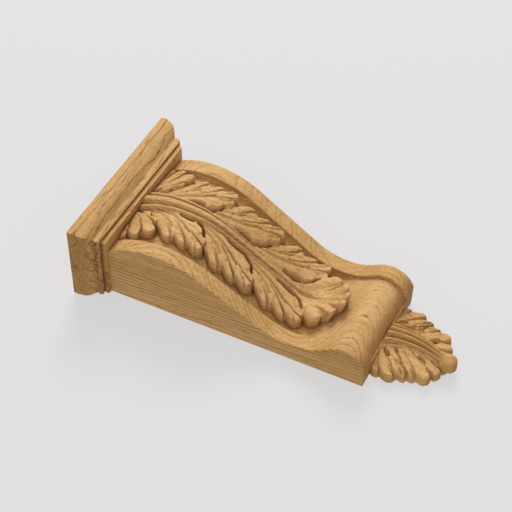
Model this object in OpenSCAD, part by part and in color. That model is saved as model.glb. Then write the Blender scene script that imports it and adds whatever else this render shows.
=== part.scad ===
// Oak corbel bracket: a carved, S-shaped block with an acanthus leaf and a leaf drop,
// under a moulded cap board. Back plane at y = 0, front towards -Y, +Z up, mm.
// u is the distance below the top of the cap, d the depth in front of the back plane.

/* [Cap board] */
// Width of the cap's top edge
cap_w = 125; // [120:1:130]
// Depth of the cap's top edge
cap_d = 62; // [60:1:66]
// Height of the cap board
cap_h = 22.5; // [21:0.5:25]
// Overhang of the cap's top edge beyond its lower fillet
cap_overhang = 11; // [8:0.5:12]
// Height of the square edge at the top
cap_edge_h = 5.5; // [4:0.5:7]
// Height of the plain lower fillet
cap_fillet_h = 3.2; // [2:0.1:4]

/* [Block] */
// Width of the block under the cap
block_w_top = 98; // [92:1:102]
// Width of the block at its lower end
block_w_end = 81; // [76:1:90]
// Distance from the top of the cap to the flat lower end
end_u = 210; // [205:1:215]
// Depth of the crown, the fullest point of the S
crown_d = 53; // [51:0.5:55]
// Depth at the bottom of the hollow
valley_d = 14.1; // [12:0.1:16]
// Width of each raised side band
band_w = 11.5; // [9:0.5:14]
// Depth of the sunk panel below the bands
sink = 2.4; // [1.5:0.1:3.5]

/* [Acanthus leaf] */
// Height of the midrib above the panel, near the cap
midrib_h = 8.8; // [6:0.1:10]
// Distance between the main tips of one side leaflet and the next
leaflet_pitch = 36.5; // [34:0.5:38]
// Distance from the top of the cap to the lowest leaflet's main tip
last_leaflet_u = 155; // [152:1:157]
// Height of the curled leaf tip above the panel
curl_h = 10.5; // [7:0.5:12]

/* [Leaf drop] */
// Length of the drop below the block
drop_len = 50; // [44:1:54]
// Width of the drop at its widest
drop_w = 62; // [56:1:68]
// Thickness of the drop at its root
drop_root_t = 15; // [12:0.5:16]
// Thickness of the drop at its lobe tips
drop_edge_t = 6; // [4:0.5:8]
// Radius of the ball at the tip of the drop
ball_r = 5.6; // [4:0.2:7]

/* [Hidden] */
$fn = 96;

// The frame's origin is on the back plane, this far below the top of the cap.
origin_u = 115;

// The S: a crown circle, a hollow circle and a nose circle, joined by straight tangents.
crown_u = 59;
crown_r = 63;
valley_u = 155.7;
valley_r = 41.5;
nose_u = 194.5;
nose_d = 11.8;
nose_r = 16.6;
crown_c = [crown_u, crown_d - crown_r];
valley_c = [valley_u, valley_d + valley_r];
nose_c = [nose_u, nose_d];

// Unit normal, towards the front, of the tangent that runs between a full circle and the hollow.
function tangent_normal(full_c, full_r, side) =
    let (v = valley_c - full_c,
         along = atan2(v[1], v[0]),
         open = acos((full_r + valley_r) / norm(v)))
    [cos(along + side * open), sin(along + side * open)];
crown_n = tangent_normal(crown_c, crown_r, 1);
nose_n = tangent_normal(nose_c, nose_r, -1);

// Depth of the S at u, set back by s square to the surface.
function s_depth(u, s) =
    let (a = crown_c + (crown_r - s) * crown_n,
         b = valley_c - (valley_r + s) * crown_n,
         c = valley_c - (valley_r + s) * nose_n,
         e = nose_c + (nose_r - s) * nose_n)
    u < a[0] ? crown_c[1] + sqrt(pow(crown_r - s, 2) - pow(u - crown_c[0], 2)) :
    u < b[0] ? a[1] + (b[1] - a[1]) * (u - a[0]) / (b[0] - a[0]) :
    u < c[0] ? valley_c[1] - sqrt(pow(valley_r + s, 2) - pow(u - valley_c[0], 2)) :
    u < e[0] ? c[1] + (e[1] - c[1]) * (u - c[0]) / (e[0] - c[0]) :
    nose_c[1] + sqrt(pow(nose_r - s, 2) - pow(u - nose_c[0], 2));

function block_half_w(u) =
    block_w_top / 2 - (block_w_top - block_w_end) / 2 * (u - cap_h) / (end_u - cap_h);

// A finger is one rounded lobe of the leaf: [root, bend, tip, root width, tip width, root height, tip height].
// Its middle line is a curve from the root, pulled towards the bend, to the centre of its round tip.
finger_steps = 6;
function bend_point(f, t) = (1 - t) * (1 - t) * f[0] + 2 * t * (1 - t) * f[1] + t * t * f[2];
function finger_line(f) = [for (i = [0:finger_steps]) bend_point(f, i / finger_steps)];
function along(p, a, b) = min(1, max(0, (p - a) * (b - a) / ((b - a) * (b - a))));
// Height of a finger at p: domed across its width, then falling steeply at its edge.
edge_run = 2.4;
dome = 0.55;
function finger_height(f, line, p) =
    max([for (i = [0:finger_steps - 1])
        let (a = line[i], b = line[i + 1], k = along(p, a, b), t = (i + k) / finger_steps,
             r = norm(p - a - k * (b - a)), w = f[3] + (f[4] - f[3]) * sin(90 * t),
             h = f[5] + (f[6] - f[5]) * t)
        r < w ? h * (1 - dome * pow(r / w, 2)) : h * (1 - dome) * (1 - (r - w) / edge_run)]);

// Fingers of the right-hand half of the leaf, in (distance from the midrib, u).
function side_leaflet(tip_u) = [
    [[5, tip_u - 43], [15, tip_u - 36], [27.8, tip_u - 24.5], 1.8, 3.9, 5.2, 4.4],
    [[5, tip_u - 39], [17, tip_u - 29], [27.6, tip_u - 13.5], 1.8, 4.0, 5.6, 4.8],
    [[5, tip_u - 34], [16, tip_u - 21], [25.6, tip_u - 3.8], 1.8, 4.4, 6.0, 5.4],
    [[5, tip_u - 30], [11, tip_u - 20], [16, tip_u - 7.4], 1.8, 4.0, 6.2, 6.0],
    [[6, tip_u - 36], [15, tip_u - 26], [21, tip_u - 14], 3.5, 8.0, 3.0, 3.4]];
top_leaflet = [
    [[8, 18], [20, 22], [33, 33], 2, 4.2, 6, 4.6],
    [[8, 18], [20, 26], [30, 40], 2, 4.2, 6, 4.8],
    [[8, 18], [16, 26], [22.5, 37.5], 2, 3.8, 6.4, 5.4],
    [[8, 18], [12, 24], [14, 31], 2, 3.2, 6.6, 5.8],
    [[8, 18], [16, 24], [24, 32], 4, 8, 3.4, 3.8]];
curled_tip = [
    [[3, 128], [6, 146], [19, 159.5], 2, 4.6, 5.5, 6],
    [[2, 140], [4, 158], [11.5, 170], 2, 4.8, 6, 0.86 * curl_h],
    [[0, 140], [0, 160], [0, 173], 2, 5.2, 6, curl_h]];
midrib = [
    [[0, 15], [0, 90], [0, 160], 3.4, 1.8, midrib_h, 0.77 * midrib_h],
    [[6.3, 15], [4.2, 70], [2.6, 152], 2.2, 1.5, 0.9 * midrib_h, 0.68 * midrib_h]];
side_fingers = [for (i = [2:-1:0]) each side_leaflet(last_leaflet_u - i * leaflet_pitch)];
fingers = concat(midrib, side_fingers, top_leaflet, curled_tip);
lines = [for (f = fingers) finger_line(f)];

// A finger counts only inside its own box, which saves most of the work.
function box_of(f) = let (m = max(f[3], f[4]) + edge_run)
    [min(f[0][0], f[2][0]) - m, max(f[0][0], f[2][0]) + m, f[0][1] - m, f[2][1] + m];
boxes = [for (f = fingers) box_of(f)];
function leaf_height(p) =
    max([0, for (i = [0:len(fingers) - 1])
        let (b = boxes[i])
        if (p[0] > b[0] && p[0] < b[1] && p[1] > b[2] && p[1] < b[3])
            finger_height(fingers[i], lines[i], p)]);

// The block's front is one sheet of points. Its rows run down the S: straight stations in u
// over the crown and the hollow, then turns about the nose's centre. Its columns run across:
// the raised side bands, their inner walls, and the sunk panel with the leaf on it.
body_rows = 76;
nose_rows = 8;
nose_start_u = nose_c[0] + nose_r * nose_n[0];
nose_start_a = atan2(nose_n[1], nose_n[0]);
nose_end_a = acos((end_u - nose_c[0]) / nose_r);
half_columns = 19;
function row_point(j, s) =
    j <= body_rows ?
        let (u = cap_h + (nose_start_u - cap_h) * j / body_rows) [u, s_depth(u, s)] :
        let (k = (j - body_rows) / nose_rows,
             a = nose_start_a + ((s > 0 ? 0 : nose_end_a) - nose_start_a) * k)
        nose_c + (nose_r - s) * [cos(a), sin(a)];
function panel_half_w(u) = block_half_w(u) - band_w;
function row_slope(j) =
    let (u = row_point(j, sink)[0]) (s_depth(u + 0.1, sink) - s_depth(u - 0.1, sink)) / 0.2;
// One half of a row, from the middle out: panel points, then the band's inner and outer edges.
function half_row(j) =
    let (p = row_point(j, sink), q = row_point(j, 0), w = panel_half_w(p[0]),
         square_on = j <= body_rows ? sqrt(1 + pow(row_slope(j), 2)) : 0)
    concat(
        [for (i = [0:half_columns]) let (x = w * i / half_columns)
            [x, i == half_columns ? p[1] : p[1] + leaf_height([x, p[0]]) * square_on, p[0]]],
        [[panel_half_w(q[0]), q[1], q[0]], [block_half_w(q[0]), q[1], q[0]]]);
module block() {
    rows = body_rows + nose_rows;
    h = half_columns + 2;
    n = 2 * h;
    row = n + 1;
    halves = [for (j = [0:rows]) half_row(j)];
    function placed(side, p, d) = [side * p[0], -d, origin_u - p[2]];
    top = [for (j = [0:rows]) for (i = [0:n])
        let (p = halves[j][abs(i - h)]) placed(i < h ? -1 : 1, p, p[1])];
    head = [for (i = [0:n]) placed(i < h ? -1 : 1, halves[0][abs(i - h)], 0)];
    foot = [for (i = [0:n]) placed(i < h ? -1 : 1, halves[rows][abs(i - h)], 0)];
    left = [for (j = [1:rows - 1]) placed(-1, halves[j][h], 0)];
    right = [for (j = [1:rows - 1]) placed(1, halves[j][h], 0)];
    base = len(top);
    foot_at = base + row;
    left_at = foot_at + row;
    right_at = left_at + rows - 1;
    function left_i(j) = j == 0 ? base : j == rows ? foot_at : left_at + j - 1;
    function right_i(j) = j == 0 ? base + n : j == rows ? foot_at + n : right_at + j - 1;
    last = rows * row;
    // On the head, the panel's edge and the band's inner edge share one corner at the back.
    function head_i(i) = i == 2 ? base + 1 : i == n - 2 ? base + n - 1 : base + i;
    polyhedron(points = concat(top, head, foot, left, right), faces = concat(
        [for (j = [0:rows - 1]) for (i = [0:n - 1])
            let (a = j * row + i) each (i < h
                ? [[a, a + 1, a + row], [a + 1, a + row + 1, a + row]]
                : [[a, a + row + 1, a + row], [a, a + 1, a + row + 1]])],
        [for (i = [2:n - 3]) [i, head_i(i), head_i(i + 1), i + 1]],
        [[base, base + 1, 2, 1, 0], [base + n, n, n - 1, n - 2, base + n - 1]],
        [for (i = [0:n - 1]) [last + i, last + i + 1, foot_at + i + 1, foot_at + i]],
        [for (j = [0:rows - 1]) [(j + 1) * row, left_i(j + 1), left_i(j), j * row]],
        [for (j = [0:rows - 1]) [right_i(j), right_i(j + 1), (j + 1) * row + n, j * row + n]],
        [for (i = [2:n - 3]) [foot_at + i, foot_at + i + 1, head_i(i + 1), head_i(i)]],
        [for (j = [0:rows - 1]) [left_i(j), left_i(j + 1), base + 1]],
        [[foot_at, foot_at + 1, foot_at + 2, base + 1]],
        [for (j = [0:rows - 1]) [right_i(j + 1), right_i(j), base + n - 1]],
        [[foot_at + n, base + n - 1, foot_at + n - 2, foot_at + n - 1]]));
}

// The drop is a fan about a point just below the block. Its rim follows the round tips of
// its lobes, and it is thick at the root and along the stem, and thin at the tips.
fan_u = end_u + 4;
root_u = end_u - 3;
drop_turns = 80;
drop_rings = 6;
drop_lobe_r = 4.2;
root_half_w = 27.5;
stem_w = 3.4;
stem_h = 1.6;
crest_h = 1.6;
lobes_a_side = 6;
ball_clear = 1.4;
// Round tips of the lobes of one side, in (distance from the axis, distance below the fan's centre).
drop_tips = [for (i = [0:lobes_a_side - 1])
    let (a = 90 - 76 * i / (lobes_a_side - 1), side = drop_w / 2 - drop_lobe_r,
         low = drop_len - ball_r - (fan_u - end_u) - drop_lobe_r)
    [side * pow(sin(a), 0.8), low * pow(cos(a), 0.8)]];
// How far the ray at angle a, measured from straight down, runs before it leaves a round tip.
function tip_reach(c, a) =
    let (off = abs(c[0] * cos(a) - c[1] * sin(a)))
    off >= drop_lobe_r ? 0 :
    c[0] * sin(a) + c[1] * cos(a) + sqrt(pow(drop_lobe_r, 2) - off * off);
function smooth_rim(a) =
    let (side = drop_w / 2 - 1.3 * drop_lobe_r, low = drop_len - 2.2 * ball_r)
    side * low / sqrt(pow(side * cos(a), 2) + pow(low * sin(a), 2));
function drop_rim(a) =
    let (root = (fan_u - root_u) / max(0.01, -cos(a)), reach = max([for (c = drop_tips) tip_reach(c, a)]))
    a > 90 ? min(root_half_w / sin(min(a, 179)), root) : max(smooth_rim(a), reach);
function drop_thickness(a, k) =
    let (x = k * drop_rim(a) * sin(a), out = a > 90 ? min(1, x / root_half_w) : k,
         crest = a > 90 ? 0 : (drop_rim(a) - smooth_rim(a)) / drop_lobe_r)
    drop_edge_t + (drop_root_t - drop_edge_t) * (1 - pow(out, 1.5))
        + crest_h * crest * sqrt(k) + stem_h * exp(-pow(x / stem_w, 2)) * min(1, 3 * (1 - out));
module leaf_drop() {
    angles = [for (i = [0:drop_turns - 1]) -180 + 360 * i / drop_turns];
    rims = [for (a = angles) drop_rim(abs(a))];
    n = drop_turns;
    function at(i, k, d) =
        [k * rims[i] * sin(angles[i]), -d, origin_u - fan_u - k * rims[i] * cos(angles[i])];
    front = [for (m = [1:drop_rings]) for (i = [0:n - 1])
        at(i, m / drop_rings, drop_thickness(abs(angles[i]), m / drop_rings))];
    back = [for (i = [0:n - 1]) at(i, 1, 0)];
    centre = len(front) + n;
    rim = (drop_rings - 1) * n;
    function next(i) = (i + 1) % n;
    polyhedron(points = concat(front, back, [at(0, 0, drop_root_t + stem_h)], [at(0, 0, 0)]), faces = concat(
        [for (i = [0:n - 1]) [next(i), i, centre]],
        [for (m = [0:drop_rings - 2]) for (i = [0:n - 1])
            let (a = m * n + i, b = m * n + next(i)) each [[b + n, a + n, a], [b, b + n, a]]],
        [for (i = [0:n - 1]) [rim + next(i), rim + n + next(i), rim + n + i, rim + i]],
        [for (i = [0:n - 1]) [rim + n + i, rim + n + next(i), centre + 1]]));
    translate([0, -ball_r - ball_clear, origin_u - end_u - drop_len + ball_r]) sphere(ball_r, $fn = 12);
}

module carved_bracket() {
    color("burlywood") {
        block();
        leaf_drop();
    }
}

// Edge of the cap as [overhang, height above its underside]: a square edge over a quarter round,
// then a bead with a narrow groove above and below it, and a plain fillet.
bead_r = 2.2;
groove = 0.5;
module cap_edge(reach) {
    round_r = cap_overhang - bead_r;
    round_at = cap_h - cap_edge_h;
    bead_at = cap_fillet_h + bead_r;
    ease = 0.7;
    difference() {
        union() {
            translate([-reach, 0]) square([reach + groove, cap_fillet_h]);
            translate([-reach, 0]) square([reach, cap_h - 1]);
            translate([bead_r / 2, bead_at]) circle(bead_r);
            translate([-reach, bead_at]) square([reach + 1.5 * bead_r - groove, round_at - bead_at]);
            intersection() {
                translate([bead_r, round_at]) circle(round_r);
                translate([0, round_at - round_r]) square([cap_overhang, round_r]);
            }
            translate([-reach, round_at])
                polygon([[0, 0], [reach + cap_overhang, 0], [reach + cap_overhang, cap_edge_h - ease],
                    [reach + cap_overhang - ease, cap_edge_h], [0, cap_edge_h]]);
        }
        translate([0, cap_fillet_h]) square([bead_r, groove]);
    }
}
module cap_board() {
    fillet_w = cap_w - 2 * cap_overhang;
    fillet_d = cap_d - cap_overhang;
    color("tan") translate([0, 0, origin_u - cap_h]) intersection() {
        rotate([90, 0, 0]) linear_extrude(cap_d) for (side = [0, 1])
            mirror([side, 0]) translate([fillet_w / 2, 0]) cap_edge(fillet_w / 2 + 1);
        translate([-cap_w / 2, 0, 0]) rotate([90, 0, 90]) linear_extrude(cap_w) intersection() {
            mirror([1, 0]) translate([fillet_d, 0]) cap_edge(fillet_d);
            translate([-cap_d, 0]) square([cap_d, cap_h]);
        }
    }
}

cap_board();
carved_bracket();
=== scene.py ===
"""Visual model of a carved oak corbel bracket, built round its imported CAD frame.

Lengths inside the classes are millimetres. A point is (x, depth, u): x across, depth in
front of the flat back, and u the distance below the top of the cap board.
"""

import logging
import math
from dataclasses import dataclass, field
from enum import Enum

import bmesh
import bpy
import numpy as np
from mathutils import Matrix, Vector


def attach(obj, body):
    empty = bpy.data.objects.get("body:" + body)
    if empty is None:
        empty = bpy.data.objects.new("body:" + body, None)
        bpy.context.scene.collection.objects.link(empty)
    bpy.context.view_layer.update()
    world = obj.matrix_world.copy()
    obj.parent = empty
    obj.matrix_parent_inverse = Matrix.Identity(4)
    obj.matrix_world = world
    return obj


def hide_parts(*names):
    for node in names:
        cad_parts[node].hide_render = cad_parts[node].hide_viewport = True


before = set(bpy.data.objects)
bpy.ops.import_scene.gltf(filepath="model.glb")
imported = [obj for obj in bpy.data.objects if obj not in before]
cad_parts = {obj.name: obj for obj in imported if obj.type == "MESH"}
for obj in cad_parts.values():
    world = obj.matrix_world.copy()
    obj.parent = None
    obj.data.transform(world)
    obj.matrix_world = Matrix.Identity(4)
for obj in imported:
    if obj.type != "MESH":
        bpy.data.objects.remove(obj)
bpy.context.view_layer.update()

LOG = logging.getLogger("corbel")
MM = 0.001
ORIGIN_U = 115.0  # the frame's origin lies this far below the cap board's top
OFF = -9.0  # height of a finger well outside it
# The hollow value drives painted shade where it is high and a painted highlight where it is low.
PAINTED_SHADE_VALUE = "hollow"  # vertex value: how deep a place lies in a recess
CARVED = "carved"  # vertex value: whether a place is cut with gouges
Socket = bpy.types.NodeSocket
Pair = tuple[float, float]
Triple = tuple[float, float, float]
Colour = tuple[float, float, float, float]


class Grain(Enum):
    """Which way the long fibres of a piece of oak run."""

    UPRIGHT = "upright"
    ACROSS = "across"


# ---- mesh helpers


def to_frame(points: np.ndarray) -> np.ndarray:
    """Turns an array of (x, depth, u) in millimetres into the frame's X, Y and Z in metres."""
    return np.stack([points[..., 0], -points[..., 1], ORIGIN_U - points[..., 2]], -1) * MM


def smooth_step(low: float, high: float, value: np.ndarray) -> np.ndarray:
    """Rises from 0 where value is low to 1 where it is high, along a soft curve."""
    t = np.clip((value - low) / (high - low), 0.0, 1.0)
    return t * t * (3 - 2 * t)


def wander(a: np.ndarray, b: np.ndarray, seed: float) -> np.ndarray:
    """Slow, smooth unevenness of a hand tool, about -1 to 1.

    Args:
        a: first coordinate in mm.
        b: second coordinate in mm.
        seed: shifts the pattern, so that two uses differ.

    Returns:
        The unevenness at each point.
    """
    return (
        np.sin(0.21 * a + 0.13 * b + seed)
        + np.sin(-0.17 * a + 0.29 * b + 2.3 * seed)
        + np.sin(0.43 * a + 0.37 * b + 4.1 * seed)
    ) / 3


def soften(values: np.ndarray, passes: int) -> np.ndarray:
    """Averages each value with its neighbours in a grid.

    Args:
        values: grid of values.
        passes: how many times to average.

    Returns:
        The softened grid.
    """
    out = values.copy()
    for _ in range(passes):
        wide = np.pad(out, 1, mode="edge")
        out = (wide[:-2, 1:-1] + wide[2:, 1:-1] + wide[1:-1, :-2] + wide[1:-1, 2:] + 2 * out) / 6
    return out


def bow(middle: Pair, size: Pair, start: float, end: float, steps: int) -> list[Pair]:
    """Points along part of an ellipse, from start to end in degrees; a negative size mirrors it."""
    turns = [math.radians(start + (end - start) * k / steps) for k in range(steps + 1)]
    return [(middle[0] + size[0] * math.cos(a), middle[1] + size[1] * math.sin(a)) for a in turns]


def sheet(points: np.ndarray, hollow: np.ndarray,
          carved: np.ndarray | float = 0.0) -> bmesh.types.BMesh:
    """Makes a grid of quads and moves its vertices to the given places.

    Args:
        points: (rows, columns, 3) array in (x, depth, u) millimetres.
        hollow: how deep each vertex lies in a recess, 0 to 1, which sets its painted shade and painted
            highlight.
        carved: 1 where the surface is cut with gouges, 0 where it is planed.

    Returns:
        The grid as a bmesh.
    """
    rows, columns = points.shape[:2]
    bm = bmesh.new()
    bmesh.ops.create_grid(bm, x_segments=columns - 1, y_segments=rows - 1, size=1.0)
    flat = np.array([v.co[:2] for v in bm.verts])
    i = np.rint((flat[:, 0] + 1) / 2 * (columns - 1)).astype(int)
    j = np.rint((1 - flat[:, 1]) / 2 * (rows - 1)).astype(int)
    placed = to_frame(points)[j, i]
    layers = [bm.verts.layers.float.new(name) for name in (PAINTED_SHADE_VALUE, CARVED)]
    carved = np.broadcast_to(carved, (rows, columns))
    for vertex, place, painted_shade, cut in zip(bm.verts, placed, hollow[j, i], carved[j, i]):
        vertex.co = place
        vertex[layers[0]] = float(painted_shade)
        vertex[layers[1]] = float(cut)
    return bm


def finish_piece(bm: bmesh.types.BMesh, name: str, material: bpy.types.Material,
                 sharp_angle: float = math.radians(50), weld: float = 0.002) -> bpy.types.Object:
    """Closes a bmesh, turns its faces outwards and makes it a smooth-shaded object.

    Args:
        bm: the mesh; it is freed.
        name: the piece's name.
        material: its finish.
        sharp_angle: edges that turn more than this stay crisp.
        weld: vertices nearer than this, in mm, become one.

    Returns:
        The new object, riding on the bracket.
    """
    bmesh.ops.remove_doubles(bm, verts=bm.verts, dist=weld * MM)
    bmesh.ops.holes_fill(bm, edges=[e for e in bm.edges if e.is_boundary], sides=0)
    bmesh.ops.recalc_face_normals(bm, faces=bm.faces)
    for face in bm.faces:
        face.smooth = True
    for edge in bm.edges:
        edge.smooth = edge.calc_face_angle(0.0) < sharp_angle
    mesh = bpy.data.meshes.new(name)
    bm.to_mesh(mesh)
    bm.free()
    mesh.materials.append(material)
    piece = bpy.data.objects.new(name, mesh)
    bpy.context.scene.collection.objects.link(piece)
    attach(piece, "root")
    return piece


# ---- material helpers


@dataclass
class Wiring:
    """Adds nodes to a tree and joins them."""

    tree: bpy.types.NodeTree

    def add(self, kind: str, inputs: dict | None = None, **settings: object) -> bpy.types.Node:
        """Adds a node.

        Args:
            kind: the node's type name.
            inputs: what to feed to its inputs, by their names or numbers.
            settings: attributes to set on it.

        Returns:
            The node.
        """
        node = self.tree.nodes.new(kind)
        for key, value in settings.items():
            setattr(node, key, value)
        for key, value in (inputs or {}).items():
            self.feed(node.inputs[key], value)
        return node

    def feed(self, socket: Socket, value: object) -> None:
        """Links a socket to another, or sets its plain value.

        Args:
            socket: the input.
            value: an output socket, a number, a vector or a colour.
        """
        if isinstance(value, Socket):
            self.tree.links.new(value, socket)
        else:
            socket.default_value = value

    def maths(self, operation: str, a: object, b: object = 0.0, clamp: bool = False) -> Socket:
        """Adds a Math node and returns its output."""
        return self.add("ShaderNodeMath", {0: a, 1: b}, operation=operation, use_clamp=clamp).outputs[0]

    def times(self, a: object, b: object) -> Socket:
        """Multiplies two numbers."""
        return self.maths("MULTIPLY", a, b)

    def plus(self, a: object, b: object) -> Socket:
        """Adds two numbers."""
        return self.maths("ADD", a, b)

    def minus(self, a: object, b: object) -> Socket:
        """Takes the second number from the first."""
        return self.maths("SUBTRACT", a, b)

    def noise(self, place: object, fineness: Triple, detail: float = 2.0, rough: float = 0.5) -> Socket:
        """Adds a 3-D noise, about 0.3 to 0.7, with fineness in waves for each mm along X, Y and Z."""
        scaled = self.add("ShaderNodeVectorMath", {0: place, 1: fineness}, operation="MULTIPLY")
        return self.add("ShaderNodeTexNoise", {"Vector": scaled.outputs["Vector"], "Scale": 1.0,
                                               "Detail": detail, "Roughness": rough}).outputs[0]

    def step(self, value: object, low: float, high: float, start: float = 0.0, end: float = 1.0) -> Socket:
        """Adds a soft step from start to end as value goes from low to high."""
        inputs = {"Value": value, "From Min": low, "From Max": high, "To Min": start, "To Max": end}
        return self.add("ShaderNodeMapRange", inputs, interpolation_type="SMOOTHSTEP").outputs[0]

    def blend(self, factor: object, a: object, b: object, how: str = "MIX") -> Socket:
        """Mixes colour b into colour a by factor."""
        inputs = {"Factor": factor, 6: a, 7: b}
        return self.add("ShaderNodeMix", inputs, data_type="RGBA", blend_type=how).outputs[2]


def new_group(name: str, takes: dict[str, object],
              gives: tuple[str, ...]) -> tuple[bpy.types.NodeTree, Wiring, dict, dict]:
    """Starts a shader node group with named inputs and outputs.

    Args:
        name: the group's name.
        takes: input names with their default numbers, or None for a vector.
        gives: names of its outputs, which are numbers.

    Returns:
        The tree, its wiring, its input sockets and its output sockets by name.
    """
    tree = bpy.data.node_groups.new(name, "ShaderNodeTree")
    for key, value in takes.items():
        kind = "NodeSocketVector" if value is None else "NodeSocketFloat"
        socket = tree.interface.new_socket(key, in_out="INPUT", socket_type=kind)
        if value is not None:
            socket.default_value = value
    for key in gives:
        tree.interface.new_socket(key, in_out="OUTPUT", socket_type="NodeSocketFloat")
    entry = tree.nodes.new("NodeGroupInput")
    leave = tree.nodes.new("NodeGroupOutput")
    return tree, Wiring(tree), {k: entry.outputs[k] for k in takes}, {k: leave.inputs[k] for k in gives}


@dataclass(frozen=True)
class OakFigure:
    """The solid pattern of oak: growth rings, pores, fibres and slow changes of tone.

    It is a group that takes a place in mm whose Z runs along the grain, measured from the pith.

    Attributes:
        ring_wander: how far the rings stray from true circles, in mm.
        pore_width: spacing of the pores across the grain, in mm.
        pore_length: their spacing along it, in mm.
    """

    ring_wander: float = 11.0
    pore_width: float = 0.62
    pore_length: float = 6.5

    def build(self) -> bpy.types.NodeTree:
        """Makes the group.

        Returns:
            The node group.
        """
        tree, w, takes, gives = new_group(
            "oak figure",
            {"Place": None, "Ring Spacing": 2.6, "Pore Amount": 1.0, "Streaks": 1.0, "Ripple": 1.5},
            ("Ring", "Pores", "Fibre", "Tone"),
        )
        place = takes["Place"]
        slow = w.noise(place, (0.016, 0.016, 0.0045), 1.0)
        quick = w.noise(place, (0.09, 0.09, 0.022))
        split = w.add("ShaderNodeSeparateXYZ", {0: place})
        squares = [w.times(split.outputs[k], split.outputs[k]) for k in (0, 1)]
        radius = w.maths("SQRT", w.plus(*squares))
        radius = w.plus(radius, w.times(w.minus(slow, 0.5), 2 * self.ring_wander))
        radius = w.plus(radius, w.times(w.minus(quick, 0.5), w.times(takes["Ripple"], 2.0)))
        count = w.maths("DIVIDE", radius, takes["Ring Spacing"])
        ring = w.maths("FRACT", count)
        chance = w.add("ShaderNodeTexWhiteNoise", {"W": w.maths("FLOOR", count)}, noise_dimensions="1D")
        strong = w.plus(w.times(chance.outputs["Value"], 0.75), 0.25)
        early = w.times(w.step(ring, 0.0, 0.08), w.step(ring, 0.1, 0.42, 1.0, 0.0))
        early = w.times(early, strong)
        across = 1 / self.pore_width
        pore = w.step(w.noise(place, (across, across, 1 / self.pore_length), 1.0), 0.57, 0.66)
        fine = w.step(w.noise(place, (2.6, 2.6, 0.33), 1.0), 0.58, 0.68)
        crowd = w.plus(w.times(early, 0.9), 0.3)
        pores = w.times(w.maths("MAXIMUM", pore, w.times(fine, 0.85)), crowd)
        pores = w.maths("MULTIPLY", pores, takes["Pore Amount"], clamp=True)
        fibre = w.noise(place, (1.5, 1.5, 0.03), 3.0, 0.6)
        streak = w.noise(place, (0.30, 0.30, 0.006), rough=0.6)
        tone = w.noise(place, (0.035, 0.035, 0.008))
        mixed = w.plus(w.times(w.minus(streak, 0.5), takes["Streaks"]), tone)
        for key, value in (("Ring", early), ("Pores", pores), ("Fibre", fibre), ("Tone", mixed)):
            w.feed(gives[key], value)
        return tree


@dataclass(frozen=True)
class PaintedReliefShading:
    """Painted shade that makes recesses warm and dark, and a painted highlight that makes ridges pale."""

    def build(self) -> bpy.types.NodeTree:
        """Makes the group.

        Returns:
            The node group.
        """
        tree, w, takes, gives = new_group("painted relief shading", {"Place": None, "Recess": 0.5}, ("Painted Shade", "Painted Highlight"))
        patch = w.noise(takes["Place"], (0.45,) * 3, 3.0, 0.6)
        uneven = w.plus(w.times(patch, 0.8), 0.6)
        # Painted shade rises with the recess value and a painted highlight as it falls; a patchy noise makes
        # both uneven.
        for key, low, high in (("Painted Shade", 0.56, 0.96), ("Painted Highlight", 0.46, 0.15)):
            w.feed(gives[key], w.maths("MULTIPLY", w.step(takes["Recess"], low, high), uneven, clamp=True))
        return tree


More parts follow.
